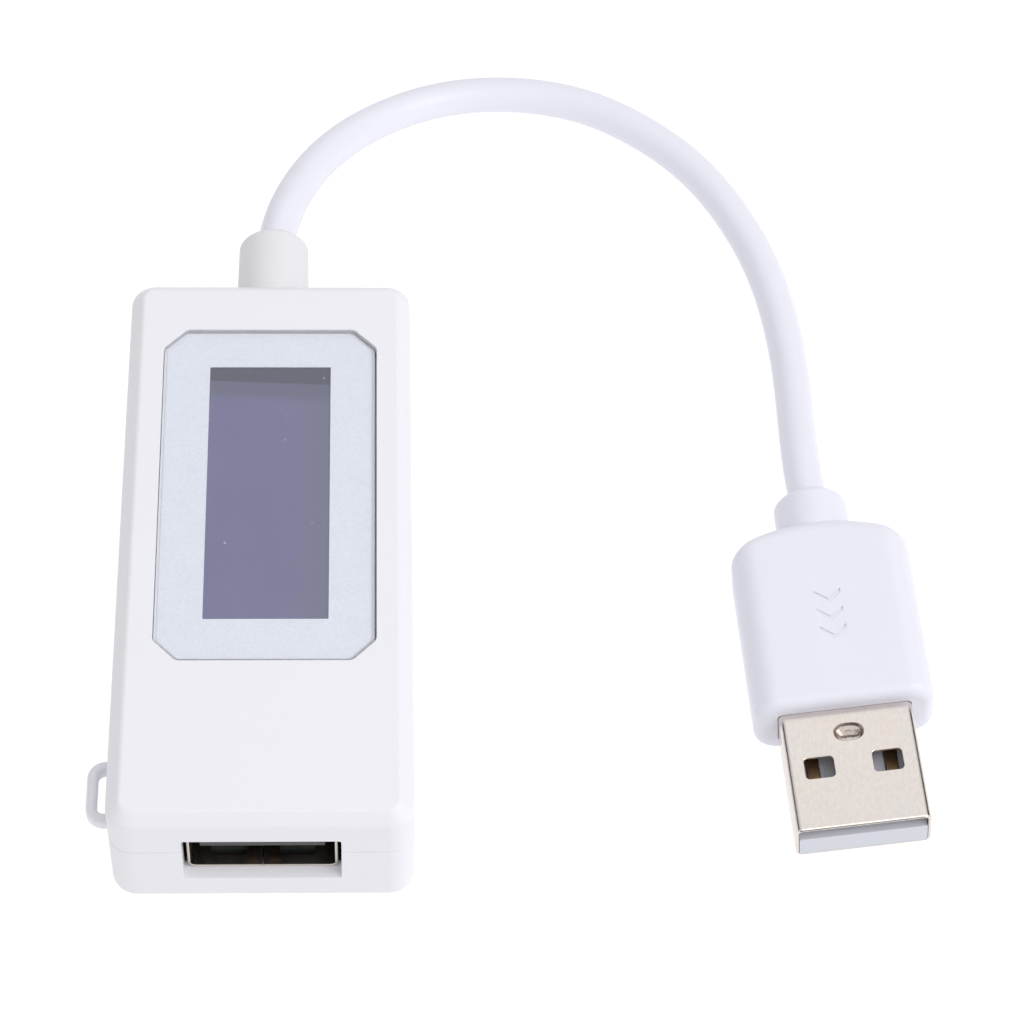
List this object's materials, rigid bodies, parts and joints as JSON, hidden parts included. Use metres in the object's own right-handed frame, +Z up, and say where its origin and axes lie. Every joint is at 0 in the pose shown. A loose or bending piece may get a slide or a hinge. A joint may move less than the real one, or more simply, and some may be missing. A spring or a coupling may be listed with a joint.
{
  "type": "usb power meter",
  "caption": "Slim inline meter with a framed display window, a socket at one end, a side lanyard loop, a side button and a short captive cord ending in a moulded plug.",
  "frame": {"origin": "centre of the casing's flat underside", "axes": "+X to the right seen from the socket end, +Y along the casing towards the cord, +Z up out of the display"},
  "size_m": [0.0753, 0.0931, 0.014],
  "materials": {
    "case_plastic": "satin white moulded plastic",
    "window_clear": "clear polished acrylic",
    "window_print": "silver printed film",
    "tape": "double-sided tape",
    "lcd_face": "dark violet polariser film",
    "lcd_cell": "polished glass",
    "inner_plastic": "white moulded plastic",
    "flex_film": "amber flexible circuit",
    "board": "green solder mask",
    "chip": "black epoxy package",
    "capacitor": "tan ceramic",
    "tinned_steel": "tinned can",
    "shell_metal": "nickel-plated sheet",
    "contact_metal": "gold-plated contact",
    "socket_plastic": "black moulded plastic",
    "bush_rubber": "soft light grey",
    "cord_jacket": "satin white cable jacket",
    "plug_mould": "satin white overmould",
    "wire_red": "red insulation",
    "wire_white": "white insulation",
    "wire_green": "green insulation",
    "wire_black": "black insulation"
  },
  "bodies": {
    "meter": {"lower_shell": "case_plastic", "upper_shell": "case_plastic", "display_window": "window_clear", "window_film": "window_print", "window_tape": "tape", "lcd_polariser": "lcd_face", "lcd_glass": "lcd_cell", "lcd_backlight": "inner_plastic", "backlight_led": "inner_plastic", "lcd_holder": "inner_plastic", "lcd_flex": "flex_film", "flex_connector": "inner_plastic", "circuit_board": "board", "meter_chip": "chip", "memory_chip": "chip", "voltage_regulator": "chip", "current_shunt": "chip", "crystal": "tinned_steel", "input_capacitor": "capacitor", "output_capacitor": "capacitor", "regulator_capacitor": "capacitor", "divider_resistor_1": "chip", "divider_resistor_2": "chip", "backlight_resistor": "chip", "socket_shell": "shell_metal", "socket_insulator": "socket_plastic", "reset_switch_body": "tinned_steel", "cord_bush": "bush_rubber", "cord": "cord_jacket", "plug_neck": "plug_mould", "plug_overmould": "plug_mould", "plug_inner_mould": "inner_plastic", "plug_shell": "shell_metal", "plug_insulator": "inner_plastic", "socket_contact_1": "contact_metal", "plug_contact_1": "contact_metal", "socket_contact_2": "contact_metal", "plug_contact_2": "contact_metal", "socket_contact_3": "contact_metal", "plug_contact_3": "contact_metal", "socket_contact_4": "contact_metal", "plug_contact_4": "contact_metal", "wire_red": "wire_red", "wire_white": "wire_white", "wire_green": "wire_green", "wire_black": "wire_black"},
    "button": {"reset_button": "case_plastic", "reset_switch_plunger": "chip"}
  },
  "joints": [
    {"name": "reset_button_press", "type": "slide", "parent": "meter", "child": "button", "axis": [-1, 0, 0], "range_m": [0, 0.00035], "stiffness_N_per_m": 2500}
  ]
}
